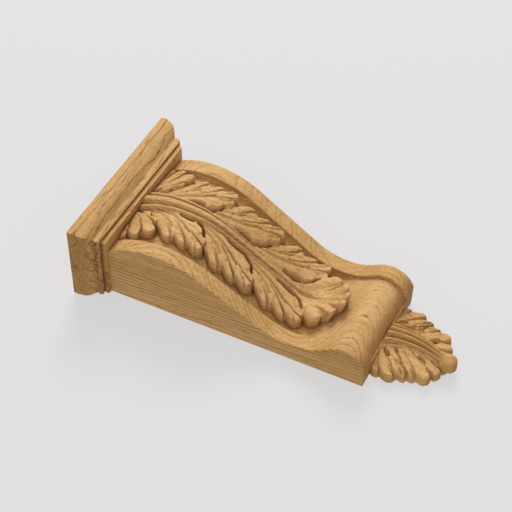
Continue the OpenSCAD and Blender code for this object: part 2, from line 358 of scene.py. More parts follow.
@dataclass(frozen=True)
class BareOak:
    """Bare sanded or carved oak.

    Attributes:
        name: the material's name.
        grain: which way its fibres run.
        pith: where the pith of the tree lies, as (x, y) across the grain, in mm.
        ring_spacing: mean width of a year's ring, in mm.
        pore_amount: how strongly the pores show.
        streaks: how strongly long streaks show.
        light, mid, dark, pore, end: the wood, its ring lines, its pores and its end grain.
        painted_shade, painted_highlight: painted shade in recesses and painted highlight on ridges.
        rings, side_rings: how strongly the rings show, and how much more on the quarter-cut sides.
        ripple: how far the rings waver over a short way, in mm.
        end_specks: how strongly open pores speckle the end grain.
        shade_amount, highlight_amount: how strongly the painted shade darkens recesses and the painted
            highlight pales ridges.
    """

    name: str
    grain: Grain
    pith: Pair
    ring_spacing: float
    pore_amount: float = 1.0
    streaks: float = 1.0
    light: Colour = (0.605, 0.374, 0.160, 1)
    mid: Colour = (0.505, 0.284, 0.102, 1)
    dark: Colour = (0.290, 0.138, 0.040, 1)
    pore: Colour = (0.130, 0.055, 0.016, 1)
    painted_shade: Colour = (0.150, 0.058, 0.014, 1)
    painted_highlight: Colour = (0.740, 0.485, 0.290, 1)
    end: Colour = (0.370, 0.175, 0.048, 1)
    rings: float = 0.62
    side_rings: float = 0.25
    ripple: float = 1.5
    end_specks: float = 0.25
    shade_amount: float = 0.55
    highlight_amount: float = 0.30
    roughness: float = 0.62
    specular: float = 0.2
    bump_strength: float = 0.55
    bump_depth: float = 0.00035

    def build(self, figure: bpy.types.NodeTree, relief_shading: bpy.types.NodeTree) -> bpy.types.Material:
        """Makes the material.

        Args:
            figure: the oak figure group.
            relief_shading: the group that paints shade in recesses and a highlight on ridges.

        Returns:
            The material.
        """
        material = bpy.data.materials.new(self.name)
        material.use_nodes = True
        tree = material.node_tree
        tree.nodes.clear()
        w = Wiring(tree)
        turned = math.radians(-90) if self.grain is Grain.ACROSS else 0.0
        place = w.add("ShaderNodeMapping", {
            "Vector": w.add("ShaderNodeTexCoord").outputs["Object"], "Scale": (1 / MM,) * 3,
            "Rotation": (0.0, turned, 0.0), "Location": (-self.pith[0], -self.pith[1], 0.0)}).outputs[0]
        oak = w.add("ShaderNodeGroup", {
            "Place": place, "Ring Spacing": self.ring_spacing, "Pore Amount": self.pore_amount,
            "Streaks": self.streaks, "Ripple": self.ripple}, node_tree=figure)
        ring, pores, fibre, tone = (oak.outputs[key] for key in ("Ring", "Pores", "Fibre", "Tone"))
        painted_shade = w.add("ShaderNodeAttribute", attribute_name=PAINTED_SHADE_VALUE)
        relief_shaded = w.add("ShaderNodeGroup", {"Place": place, "Recess": painted_shade.outputs["Fac"]}, node_tree=relief_shading)

        colour = w.blend(w.step(tone, 0.25, 0.75), self.mid, self.light)
        facing = w.add("ShaderNodeSeparateXYZ", {0: w.add("ShaderNodeNewGeometry").outputs["Normal"]})
        end_axis, side_axis = (0, 2) if self.grain is Grain.ACROSS else (2, 0)
        along = w.maths("ABSOLUTE", facing.outputs[end_axis])
        ends = w.step(along, 0.45, 0.95)
        sides = w.step(w.maths("ABSOLUTE", facing.outputs[side_axis]), 0.6, 0.95)
        cut = w.add("ShaderNodeAttribute", attribute_name=CARVED)
        drawn = w.plus(self.rings, w.times(sides, self.side_rings))
        faint = w.minus(drawn, w.times(cut.outputs["Fac"], 0.6 * self.rings))
        colour = w.blend(w.times(ring, faint), colour, self.dark)
        colour = w.blend(w.times(ends, 0.6), colour, self.end)
        shade = w.step(fibre, 0.3, 0.7, 0.86, 1.1)
        grey = w.add("ShaderNodeCombineXYZ", {0: shade, 1: shade, 2: shade})
        colour = w.blend(1.0, colour, grey.outputs[0], "MULTIPLY")
        colour = w.blend(w.times(pores, w.plus(0.7, w.times(ends, 0.3))), colour, self.pore)
        # Painted shade darkens the recesses and a painted highlight pales the ridges.
        colour = w.blend(w.times(relief_shaded.outputs["Painted Shade"], self.shade_amount), colour, self.painted_shade)
        colour = w.blend(w.times(relief_shaded.outputs["Painted Highlight"], self.highlight_amount), colour, self.painted_highlight)
        speck = w.step(w.noise(place, (0.80, 0.80, 0.10), 1.0), 0.50, 0.57)
        belt = w.step(w.noise(place, (0.16, 0.03, 0.01), 1.0), 0.42, 0.56, 0.15, 1.0)
        shown = w.times(w.times(speck, belt), w.step(along, 0.5, 0.85, 0.0, self.end_specks))
        colour = w.blend(shown, colour, self.pore)

        rough = w.plus(self.roughness, w.times(pores, 0.25))
        rough = w.minus(rough, w.times(relief_shaded.outputs["Painted Highlight"], 0.08))
        relief = w.minus(w.times(fibre, 0.5), w.times(pores, 0.9))
        relief = w.minus(relief, w.times(ring, 0.25))
        relief = w.plus(relief, w.times(w.noise(place, (0.55,) * 3), 0.9))
        bump = w.add("ShaderNodeBump", {
            "Strength": self.bump_strength, "Distance": self.bump_depth, "Height": relief})
        shader = w.add("ShaderNodeBsdfPrincipled", {
            "Base Color": colour, "Roughness": rough, "Normal": bump.outputs[0],
            "Specular IOR Level": self.specular})
        w.add("ShaderNodeOutputMaterial", {"Surface": shader.outputs[0]})
        return material


# ---- the S and the leaf


def arc(radius: float, offset: np.ndarray) -> np.ndarray:
    """Height of a circle of this radius at an offset from its centre."""
    return np.sqrt(np.maximum(radius * radius - offset * offset, 0.0))


@dataclass(frozen=True)
class SCurve:
    """The block's front: a crown, a hollow and a nose circle joined by straight tangents.

    Attributes:
        cap_u, end_u: where the cap board's underside and the block's lower end lie.
        crown, hollow, nose: u and depth of each circle's centre, and its radius.
        width_top, width_end: the block's width at cap_u and at end_u.
        sink: how far the panel lies below the bands.
    """

    cap_u: float = 22.5
    end_u: float = 210.0
    crown: Triple = (59.0, -10.0, 63.0)
    hollow: Triple = (155.7, 55.6, 41.5)
    nose: Triple = (194.5, 11.8, 16.6)
    width_top: float = 98.0
    width_end: float = 81.0
    sink: float = 2.4
    nose_rows: int = 22

    def _tangent(self, full: Triple, side: int) -> np.ndarray:
        """Unit normal of a tangent between a full circle and the hollow one.

        Args:
            full: the full circle.
            side: which of the two tangents.

        Returns:
            The normal, towards the front.
        """
        v = np.subtract(self.hollow[:2], full[:2])
        angle = math.atan2(v[1], v[0]) + side * math.acos((full[2] + self.hollow[2]) / np.hypot(*v))
        return np.array([math.cos(angle), math.sin(angle)])

    def depth(self, u: np.ndarray, s: float) -> np.ndarray:
        """Depth of the S, set back square to its surface.

        Args:
            u: distance below the cap's top.
            s: set-back.

        Returns:
            The depth in front of the back.
        """
        crown, hollow, nose = (np.array(circle[:2]) for circle in (self.crown, self.hollow, self.nose))
        crown_r, hollow_r, nose_r = self.crown[2] - s, self.hollow[2] + s, self.nose[2] - s
        crown_n, nose_n = self._tangent(self.crown, 1), self._tangent(self.nose, -1)
        a, b = crown + crown_r * crown_n, hollow - hollow_r * crown_n
        c, e = hollow - hollow_r * nose_n, nose + nose_r * nose_n
        return np.select(
            [u < a[0], u < b[0], u < c[0], u < e[0]],
            [crown[1] + arc(crown_r, u - crown[0]), a[1] + (b[1] - a[1]) * (u - a[0]) / (b[0] - a[0]),
             hollow[1] - arc(hollow_r, u - hollow[0]), c[1] + (e[1] - c[1]) * (u - c[0]) / (e[0] - c[0])],
            nose[1] + arc(nose_r, u - nose[0]))

    def half_width(self, u: np.ndarray) -> np.ndarray:
        """Half of the block's width at u."""
        share = (u - self.cap_u) / (self.end_u - self.cap_u)
        return (self.width_top + (self.width_end - self.width_top) * share) / 2

    def stations(self, fine: float, coarse: float, fine_end: float) -> tuple[np.ndarray, np.ndarray]:
        """Rows down the S: distances u, then shares of the turn round the nose.

        Args:
            fine: spacing over the leaf.
            coarse: spacing below it.
            fine_end: u where the leaf's fine rows end.

        Returns:
            The u of each body row, and the share 0 to 1 of each nose row.
        """
        start = self.nose[0] + self.nose[2] * self._tangent(self.nose, -1)[0]
        u = np.linspace(self.cap_u, start, 4000)
        run = np.concatenate([[0], np.cumsum(np.hypot(np.diff(u), np.diff(self.depth(u, 0.0))))])
        split = np.interp(fine_end, u, run)
        marks = np.concatenate([np.linspace(0, split, int(split / fine), endpoint=False),
                                np.linspace(split, run[-1], int((run[-1] - split) / coarse) + 1)])
        return np.interp(marks, run, u), np.linspace(0, 1, self.nose_rows + 1)[1:]

    def place(self, u: np.ndarray, turn: np.ndarray, s: float) -> tuple[np.ndarray, np.ndarray]:
        """Puts rows on the S.

        Args:
            u: distances of the body rows.
            turn: shares of the nose rows.
            s: set-back.

        Returns:
            The u and the depth of every row.
        """
        normal = self._tangent(self.nose, -1)
        start = math.atan2(normal[1], normal[0])
        end = math.acos((self.end_u - self.nose[0]) / self.nose[2]) * (1 - min(1.0, s / self.sink))
        angle = start + (end - start) * turn
        radius = self.nose[2] - s
        rows_u = np.concatenate([u, self.nose[0] + radius * np.cos(angle), [self.end_u]])
        depth = np.concatenate([self.depth(u, s), self.nose[1] + radius * np.sin(angle)])
        return rows_u, np.append(depth, depth[-1])


@dataclass(frozen=True)
class Finger:
    """One rounded lobe of a leaf, along a curve from its root, pulled to a bend, to its tip.

    Attributes:
        root, bend, tip: points in (distance from the midrib, u).
        widths: half-width at the root, at the belly and at the tip.
        heights: height above the ground at the root and at the tip.
        dome: how much lower its edges are than its ridge, 0 to 1.
        edge: width of the steep fall at its edge.
        rise: above 1, the height comes late, so that the tip curls up.
        scoop: how far the middle of its tip is hollowed, as a share of its height.
        flatness: how flat its top stays before it rounds over.
    """

    root: Pair
    bend: Pair
    tip: Pair
    widths: Triple
    heights: Pair
    dome: float = 0.55
    edge: float = 0.55
    rise: float = 1.3
    scoop: float = 0.0
    flatness: float = 2.5

    def height(self, x: np.ndarray, u: np.ndarray, steps: int = 9) -> np.ndarray:
        """Height of the finger.

        Args:
            x: distance from the midrib.
            u: distance below the cap's top.
            steps: straight runs that its curve is taken in.

        Returns:
            The height at each point, negative well outside it.
        """
        out = np.full(x.shape, OFF)
        reach = max(self.widths) + 3 * self.edge
        ends = np.array([self.root, self.bend, self.tip])
        near = ((x > ends[:, 0].min() - reach) & (x < ends[:, 0].max() + reach)
                & (u > ends[:, 1].min() - reach) & (u < ends[:, 1].max() + reach))
        px, pu = x[near], u[near]
        best = np.full(px.shape, OFF)
        t = np.linspace(0, 1, steps + 1)[:, None]
        line = (1 - t) ** 2 * ends[0] + 2 * t * (1 - t) * ends[1] + t ** 2 * ends[2]
        for k in range(steps):
            a, run = line[k], line[k + 1] - line[k]
            along = np.clip(((px - a[0]) * run[0] + (pu - a[1]) * run[1]) / (run @ run), 0, 1)
            off = np.hypot(px - a[0] - along * run[0], pu - a[1] - along * run[1])
            share = (k + along) / steps
            width = ((1 - share) ** 2 * self.widths[0] + 2 * share * (1 - share) * self.widths[1]
                     + share ** 2 * self.widths[2])
            peak = self.heights[0] + (self.heights[1] - self.heights[0]) * share ** self.rise
            part = np.minimum(off / width, 1)
            dip = self.scoop * share * (1 - part ** 2) ** 2
            inside = peak * (1 - self.dome * part ** self.flatness - dip)
            outside = peak * (1 - self.dome) * (1 - (off - width) / self.edge)
            best = np.maximum(best, np.where(off < width, inside, outside))
        out[near] = best
        return out


def fingers_from(rows: tuple, down: float = 0.0, **shape: float) -> list[Finger]:
    """Makes fingers of one shape from rows of root, bend, tip, widths and heights."""
    return [Finger(*((x, down + u) for x, u in row[:3]), *row[3:], **shape) for row in rows]


def join(lobes: list[np.ndarray], crispness: float, ground: float) -> np.ndarray:
    """Joins the heights of lobes softly, so that they run into each other as if carved."""
    joined = np.log(sum(np.exp(crispness * lobe) for lobe in lobes)) / crispness
    return np.where(np.max(lobes, axis=0) > 0, joined, ground)


@dataclass(frozen=True)
class Eye:
    """A drop-shaped hole bored between two lobes.

    Attributes:
        place: its centre, as (distance from the midrib, u).
        size: its half-width and half-length.
        slant: how far it leans outwards for each mm down.
    """

    place: Pair
    size: Pair
    slant: float = 0.35

    def depth(self, x: np.ndarray, u: np.ndarray) -> np.ndarray:
        """Share of the leaf's height left at each point, 0 in the eye and 1 outside it."""
        v = u - self.place[1]
        h = x - self.place[0] - self.slant * v
        return smooth_step(0.55, 1.15, np.hypot(h / self.size[0], v / self.size[1]))


@dataclass(frozen=True)
class AcanthusLeaf:
    """The leaf on the panel: a triple midrib, side leaflets in pairs and a curled tip.

    Attributes:
        leaflet_tips: u of each side leaflet's main tip.
        near_taper: how much its left half narrows towards the tip, as a share.
        crispness: how sharp the valleys between its lobes are.
        lobe: the shape that its flat-topped lobes share.
    """

    leaflet_tips: Triple = (82.0, 118.0, 155.0)
    near_taper: float = 0.13
    crispness: float = 1.6
    lobe: dict = field(default_factory=lambda: {"dome": 0.40, "scoop": 0.15, "flatness": 3.2})

    def fingers(self) -> list[Finger]:
        """Every finger of one half of the leaf: side leaflets, top group, then the curled tip."""
        leaflet = (
            ((7, -52), (12, -37), (24, -26), (1.8, 6.4, 4.8), (3.2, 5.6)),
            ((6, -52), (12.5, -30), (24.6, -14.4), (1.8, 6.2, 4.3), (3.2, 6.2)),
            ((4, -56), (8.5, -25), (25, -4.8), (2.2, 7, 4.1), (3.4, 7.9)),
            ((4, -48), (7.5, -22), (19.6, -3.8), (1.6, 4.6, 3), (3.4, 6.9)),
            ((6, -32), (8.2, -19), (13.4, -9.8), (1.5, 4.6, 3.4), (4.2, 6.9)),
        )
        out = [finger for tip in self.leaflet_tips for finger in fingers_from(leaflet, tip, **self.lobe)]
        out += fingers_from((
            ((8, 6), (18, 10), (31.2, 24.6), (2, 4.6, 3.8), (4, 5.4)),
            ((8, 6), (20, 15), (30, 33.4), (2, 5.4, 4), (4.4, 6)),
            ((8, 6), (17, 22), (26.2, 41.6), (2, 5.8, 4.2), (4.8, 6.8)),
            ((8, 6), (13, 22), (19.2, 39.8), (2, 4.8, 3.4), (5, 7.2)),
            ((8, 6), (11, 18), (13.4, 32), (2, 4, 3.2), (5, 7)),
        ), **self.lobe)
        out.append(Finger((3, 116), (4.4, 146), (17.6, 160.4), (2, 7.6, 5.2), (3.4, 8.4), 0.42))
        return out + fingers_from((
            ((4, 142), (5.4, 160), (11, 167), (2, 5, 5.2), (4, 11.4)),
            ((1.2, 144), (2, 160), (3.6, 171.2), (2, 4.4, 4.8), (4, 13)),
        ), dome=0.42, rise=2.2)

    def grooves(self) -> list[Finger]:
        """Cuts made with a gouge, as fingers whose heights are depths."""
        leaflet = (
            ((4.9, -26), (3.4, -10), (14.6, -5), (1.9, 1.7, 0.9), (4.6, 3.2)),
            ((14, -35), (22.5, -26.5), (30.8, -21), (0.5, 0.9, 1.1), (0.7, 4.4)),
            ((13, -28), (21.5, -15.5), (30.6, -9.4), (0.5, 0.9, 1), (0.9, 4.4)),
            ((16, -16), (20.5, -8), (24, 0.6), (0.4, 0.6, 0.9), (0.8, 4.2)),
            ((9, -49), (10.5, -36), (19, -27), (0.8, 1.8, 0.6), (0.8, 1.2)),
            ((6.6, -48), (8, -29), (18, -15), (0.8, 1.8, 0.6), (1, 1.4)),
            ((20, -36), (24.6, -32), (29.6, -31.2), (0.3, 0.4, 0.9), (0.3, 2.6)),
            ((20, -13), (25, -6), (30.4, -2.6), (0.3, 0.5, 0.9), (0.3, 3)),
        )
        out = [cut for tip in self.leaflet_tips for cut in fingers_from(leaflet, tip, dome=1.0, rise=2.4)]
        out += fingers_from((
            ((7, 157), (10, 162), (16.8, 169.4), (0.4, 1, 1.6), (0.6, 5.2)),
            ((4.4, 164), (6, 168), (8.2, 175.8), (0.4, 0.9, 1.5), (0.6, 5.6)),
        ), dome=1.0)
        return out + fingers_from((
            ((16, 19), (24, 25), (35, 28.8), (0.4, 0.8, 1.1), (0.6, 4.6)),
            ((14, 24), (21, 33), (33, 38.2), (0.4, 0.8, 1.1), (0.6, 4.6)),
            ((12, 27), (17, 37), (23, 45.4), (0.4, 0.8, 1), (0.6, 4.6)),
        ), dome=1.0, rise=2.0)

    def midrib(self) -> list[Finger]:
        """The three strands of the midrib."""
        return [Finger((0.9, 6), (0.5, 70), (0.4, 160), (3.4, 1.2, 0.8), (9.4, 6.2), 0.4, rise=0.7),
                Finger((7.4, 6), (2.9, 76), (1.9, 154), (2.2, 1.2, 0.8), (8.0, 4.8), 0.55, rise=0.7)]

    def eyes(self) -> list[Eye]:
        """The bored holes beside the midrib."""
        return [Eye((7.4, 60.0), (2.0, 6.2), 0.1), Eye((6.0, 96.0), (2.0, 6.0), 0.1),
                Eye((6.2, 135.5), (1.9, 6.2), 0.25), Eye((10.6, 25.0), (1.5, 3.6))]

    def height(self, x: np.ndarray, u: np.ndarray) -> np.ndarray:
        """Height of the leaf above the panel.

        Args:
            x: place across, from the centre line.
            u: distance below the cap's top.

        Returns:
            The height, 0 off the leaf.
        """
        drift = 0.45 * wander(x * 2.1, u * 1.7, 1.7)
        rise = 0.45 * wander(x * 1.8, u * 2.2, 5.2)
        narrow = 1 + self.near_taper * smooth_step(80, 155, u) * smooth_step(0, -6, x)
        away, down = np.abs(x + 0.5 * drift) * narrow, u + rise
        lobes = [finger.height(away, down) for finger in self.fingers()]
        out = join(lobes, self.crispness, 0.0)
        for cut in self.grooves():
            out -= np.clip(cut.height(away, down, 7), 0, np.maximum(out - 0.2, 0))
        for eye in self.eyes():
            out = out * eye.depth(away, down)
        for strand in self.midrib():
            out = np.maximum(out, strand.height(np.abs(x + 0.25 * drift), u, 14))
        return out


@dataclass
class CarvedBlock:
    """The S-shaped block with its raised bands, sunk panel and acanthus leaf.

    Attributes:
        outer_round, inner_round: radii of the bands' edges.
        row_fine, row_coarse: spacing of the rows above and below fine_end.
        ground_sink: how far the ground is cut away round the leaf.
        ground_span: u where that starts, is full, starts to fade and ends.
        lean_out, lean_down: how far the lobes lean for each mm that they stand proud.
    """

    s_curve: SCurve = field(default_factory=SCurve)
    leaf: AcanthusLeaf = field(default_factory=AcanthusLeaf)
    band_w: float = 11.5
    outer_round: float = 0.7
    inner_round: float = 0.5
    panel_columns: int = 160
    side_columns: int = 6
    back_columns: int = 4
    row_fine: float = 0.46
    row_coarse: float = 1.1
    fine_end: float = 186.0
    ground_sink: float = 2.3
    ground_span: tuple[float, float, float, float] = (24.0, 30.0, 160.0, 174.0)
    lean_out: float = 0.16
    lean_down: float = 0.24

    def _edge_columns(self) -> list[Pair]:
        """Columns from the panel to the block's outer edge, as (distance in from it, set-back)."""
        sink, inner, outer = self.s_curve.sink, self.inner_round, self.outer_round
        span = self.band_w - inner - outer
        out = [(self.band_w + 0.25, sink - 0.05), (self.band_w + 0.05, sink - 0.9)]
        out += bow((self.band_w - inner, inner), (inner, -inner), 0, 90, 3)
        out += [(self.band_w - inner - span * k / 6, 0.0) for k in range(1, 6)]
        return out + bow((outer, outer), (-outer, -outer), 90, 0, 4)

    def _side(self, side: int, rows_u: np.ndarray, turn: np.ndarray) -> list[np.ndarray]:
        """Columns of one band, side and half back, from the panel outwards.

        Args:
            side: -1 for the left, 1 for the right.
            rows_u: u of the body rows.
            turn: shares of the nose rows.

        Returns:
            The points of each column.
        """
        columns = []
        for inset, back in self._edge_columns():
            u, depth = self.s_curve.place(rows_u, turn, back)
            columns.append(np.stack([side * (self.s_curve.half_width(u) - inset), depth, u], -1))
        last = columns[-1]
        columns += [last * (1, 1 - k / self.side_columns, 1) for k in range(1, self.side_columns + 1)]
        return columns + [last * (1 - k / self.back_columns, 0, 1) for k in range(1, self.back_columns + 1)]

    def points(self) -> tuple[np.ndarray, np.ndarray, np.ndarray]:
        """Places every vertex of the block.

        Returns:
            The points, with columns from the back's middle round to it again, their painted shade values, and
            where the surface is carved.
        """
        s = self.s_curve
        rows_u, turn = s.stations(self.row_fine, self.row_coarse, self.fine_end)
        panel_u, panel_d = s.place(rows_u, turn, s.sink)
        half = (s.half_width(panel_u) - self.band_w - 0.25)[:, None]
        share = np.linspace(-1, 1, self.panel_columns + 1)
        x = half * share
        u = np.repeat(panel_u[:, None], len(share), 1)
        height = self.leaf.height(x, u)
        body = len(rows_u)
        height[body:] = 0
        square = np.ones(len(panel_u))
        square[:body] = np.sqrt(1 + np.gradient(panel_d[:body], panel_u[:body]) ** 2)
        start, full, fade, end = self.ground_span
        ground = self.ground_sink * smooth_step(0.6, 0.0, height)
        ground *= smooth_step(end, fade, u) * smooth_step(start, full, u)
        height = height - ground * smooth_step(1.0, 0.985, np.abs(share))
        carved = np.clip(soften((height > 0.3).astype(float), 6), 0, 1)
        tooled = 0.10 * wander(3.1 * x, 2.6 * u, 0.7) * (height > 0.5)
        # Painted shade value: higher where the surface lies below its softened neighbours, near and wide.
        close, wide = soften(height, 10) - height, soften(height, 90) - height
        painted_shade = np.clip(0.5 + close / 5.5 + wide / 17.0, 0, 1)
        depth = panel_d[:, None] + (height + tooled) * square[:, None]
        proud = np.maximum(height - 2.0, 0)
        curl = smooth_step(150, 172, u)
        out_x = x + np.sign(x) * self.lean_out * proud * smooth_step(3, 12, np.abs(x))
        out_u = u + (self.lean_down + 0.2 * curl) * proud * smooth_step(2, 9, np.abs(x) + 12 * curl)
        panel = np.stack([np.clip(out_x, -half, half), depth, out_u], -1)

        left, right = self._side(-1, rows_u, turn)[::-1], self._side(1, rows_u, turn)
        points = np.concatenate([np.stack(left, 1), panel, np.stack(right, 1)], 1)
        middle = slice(len(left), len(left) + len(share))
        hollow, worked = np.full(points.shape[:2], 0.5), np.zeros(points.shape[:2])
        hollow[:, middle], worked[:, middle] = painted_shade, carved
        # Painted shade in the corners where the panel meets the bands.
        hollow[:, [middle.start - 1, middle.stop]] = 0.85
        return points, hollow, worked

    def build(self, material: bpy.types.Material) -> bpy.types.Object:
        """Builds and dresses the block.

        Args:
            material: its oak.

        Returns:
            The piece.
        """
        points, hollow, worked = self.points()
        piece = finish_piece(sheet(points, hollow, worked), "carved_block", material, math.radians(80))
        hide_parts("carved_bracket")
        return piece


@dataclass
class LeafDrop:
    """The leaf that hangs below the block, with lobes on both sides and a ball at its tip.

    Attributes:
        root_u: where it leaves the block.
        fan_u: u of the point that its rows of vertices surround.
        turns, rows: vertices in a row, and rows from that point to the outline.
        right_floor, left_floor: depth of the floors of the holes on its two halves.
    """

    root_u: float = 209.9
    fan_u: float = 216.0
    turns: int = 420
    rows: int = 62
    crispness: float = 0.9
    thinnest: float = 2.0
    right_floor: float = 3.2
    left_floor: float = 6.2
    ball_r: float = 6.5
    ball_x: float = -1.4
    ball_u: float = 254.0
    ball_depth: float = 6.9

    def fingers(self) -> list[Finger]:
        """Lobes of one half of the drop, with heights measured from its flat back."""
        lobes = fingers_from((
            ((4, 205), (18, 205), (25.4, 213.4), (3, 7.4, 4.8), (10.6, 7.6)),
            ((4, 208), (20, 209), (25.4, 222.4), (3, 7.4, 4.8), (10.6, 8.4)),
            ((4, 212), (16, 215), (21.4, 230.6), (3, 6.8, 4.4), (10.6, 8.8)),
            ((4, 220), (13, 223), (19, 236.6), (3, 6, 4.2), (9.8, 7.8)),
            ((4, 224), (12, 229), (17.2, 243.6), (3, 6, 4.4), (9.8, 8.4)),
            ((3, 230), (8, 238), (11.2, 248.4), (2.4, 4.8, 3.9), (9.4, 7.8)),
            ((2, 238), (3, 246), (5, 252), (2, 3, 2.6), (9, 7.6)),
        ), dome=0.30, edge=0.5, rise=0.8, scoop=0.10, flatness=3.2)
        return lobes + fingers_from((
            ((2, 207), (12, 211), (16, 221), (10, 12, 8), (9, 7)),
            ((3, 222), (8, 232), (9, 242), (8, 9, 6), (8.6, 7)),
        ), dome=0.12, edge=0.5)

    def grooves(self) -> list[Finger]:
        """Cuts between the drop's lobes, as fingers whose heights are depths."""
        return fingers_from((
            ((12, 207), (22, 212), (32, 217.6), (0.6, 1, 1.2), (0.9, 9)),
            ((11, 211), (19, 217), (29, 228.6), (0.6, 1.1, 1.2), (1.2, 9)),
            ((8, 219), (16, 226), (24.6, 234.6), (1, 1.5, 1.2), (2.2, 9)),
            ((9, 225), (14, 232), (23, 240.6), (0.6, 1, 1.2), (0.9, 9)),
            ((6, 230), (10, 240), (16.4, 250.2), (0.6, 1, 1.2), (0.9, 9)),
            ((4, 240), (7, 246), (9, 254), (0.5, 0.8, 1), (0.8, 9)),
            ((17, 205), (24, 207), (30, 211), (0.4, 0.8, 0.8), (0.5, 3)),
            ((14, 219), (18, 224), (24, 230), (0.4, 0.8, 0.8), (0.6, 3)),
        ), dome=1.0, rise=6.0)

    def lips(self) -> list[Finger]:
        """Curled edges round the bored holes."""
        return fingers_from((
            ((11.2, 214), (12.6, 221), (15.6, 228), (1.7, 2.3, 1.7), (12, 11.6)),
            ((6.4, 233), (9, 237), (13, 241), (1.4, 2, 1.6), (11.2, 10.6)),
        ), dome=0.4)

    def strands(self) -> list[Finger]:
        """The stem's strands, which splay at the root and sway before they meet."""
        return fingers_from((
            ((5, 203), (13, 229), (0.8, 250), (1.9, 1.4, 1.1), (14.6, 10.4)),
            ((1, 203), (10.5, 229), (-0.6, 251), (2, 1.5, 1.2), (15.8, 11)),
            ((-4, 203), (7, 227), (-2, 251), (2.1, 1.6, 1.2), (15.8, 11)),
            ((-10, 203), (3, 223), (-3.6, 250), (2.6, 1.7, 1.1), (14.2, 10.2)),
            ((-16, 206), (-1, 216), (-5, 247), (2.8, 1.6, 0.9), (11.6, 9.4)),
        ), dome=0.34)

    def eyes(self) -> list[Eye]:
        """The bored holes between its lobes."""
        return [Eye((14.2, 215.2), (2.1, 3.0), 0.3), Eye((17.4, 227.6), (1.7, 2.4), 0.3),
                Eye((8.4, 238.4), (1.8, 3.4), 0.7)]

    def height(self, x: np.ndarray, u: np.ndarray) -> np.ndarray:
        """Depth of the drop's front.

        Args:
            x: place across.
            u: distance below the cap's top.

        Returns:
            The depth in front of the back, below 0 off the drop.
        """
        drift = 0.5 * wander(2.3 * x, 1.9 * u, 3.3)
        away, down = np.abs(x + drift), u + drift
        lobes = [finger.height(away, down) for finger in self.fingers()]
        out = join(lobes, self.crispness, OFF)
        for lip in self.lips():
            out = np.where(x > 0, np.maximum(out, lip.height(away, down)), out)
        for cut in self.grooves():
            out -= np.clip(cut.height(away, down, 7), 0, None)
        floor = np.where(x > 0, self.right_floor, self.left_floor)
        for eye in self.eyes():
            out = np.where(out > floor, floor + (out - floor) * eye.depth(away, down), out)
        for strand in self.strands():
            out = np.maximum(out, strand.height(x + 0.3 * drift, u, 12))
        return out

    def build(self, material: bpy.types.Material) -> bpy.types.Object:
        """Builds and dresses the drop with its ball.

        Args:
            material: its oak.

        Returns:
            The piece.
        """
        angles = np.linspace(-math.pi, math.pi, self.turns + 1)
        reach = np.arange(0.5, 48, 0.08)
        x = reach[:, None] * np.sin(angles)
        u = self.fan_u + reach[:, None] * np.cos(angles)
        solid = (self.height(x, u) > 0) & (u > self.root_u)
        rim = np.array([reach[np.nonzero(column)[0].max()] for column in solid.T])
        rim[-1] = rim[0]
        share = np.linspace(0.0005, 1, self.rows) ** 0.9
        x = rim * share[:, None] * np.sin(angles)
        u = self.fan_u + rim * share[:, None] * np.cos(angles)
        depth = np.maximum(self.height(x, u), self.thinnest)
        # Painted shade value: higher where the drop lies below its softened neighbours, lower on its high
        # points for a painted highlight.
        painted_shade = np.clip(0.5 + (soften(depth, 9) - depth) / 8.0, 0, 1)
        edge_x, edge_d, edge_u = x[-1], depth[-1], u[-1] - self.fan_u
        steps = ((0.72, 1.0), (0.4, 0.996), (0.1, 0.985), (0.0, 0.96), (0.0, 0.5), (0.0, 0.0005))
        walls = [np.stack([edge_x * inset, edge_d * part, self.fan_u + edge_u * inset], -1)
                 for part, inset in steps]
        points = np.concatenate([np.stack([x, depth, u], -1), walls])
        hollow = np.concatenate([painted_shade, np.full((len(walls), len(edge_x)), 0.5)])
        piece = finish_piece(sheet(points, hollow, 1.0), "leaf_drop", material, math.radians(80), weld=0.02)
        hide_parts("carved_bracket")
        return piece

    def build_ball(self, material: bpy.types.Material) -> bpy.types.Object:
        """Builds the ball at the drop's tip."""
        bm = bmesh.new()
        place = Vector(to_frame(np.array([self.ball_x, self.ball_depth, self.ball_u])).tolist())
        bmesh.ops.create_icosphere(bm, subdivisions=5, radius=self.ball_r * MM)
        layer = bm.verts.layers.float.new(PAINTED_SHADE_VALUE)
        for vertex in bm.verts:
            n = vertex.co.normalized()
            vertex.co *= 1 + 0.035 * math.sin(5 * n.x + 3 * n.z) + 0.03 * math.sin(7 * n.y + 2 * n.z + 1)
            # A near neutral painted shade value: no painted shade and barely any painted highlight on the
            # ball.
            vertex[layer] = 0.45
        bmesh.ops.translate(bm, verts=bm.verts, vec=place)
        piece = finish_piece(bm, "drop_ball", material)
        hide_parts("carved_bracket")
        return piece


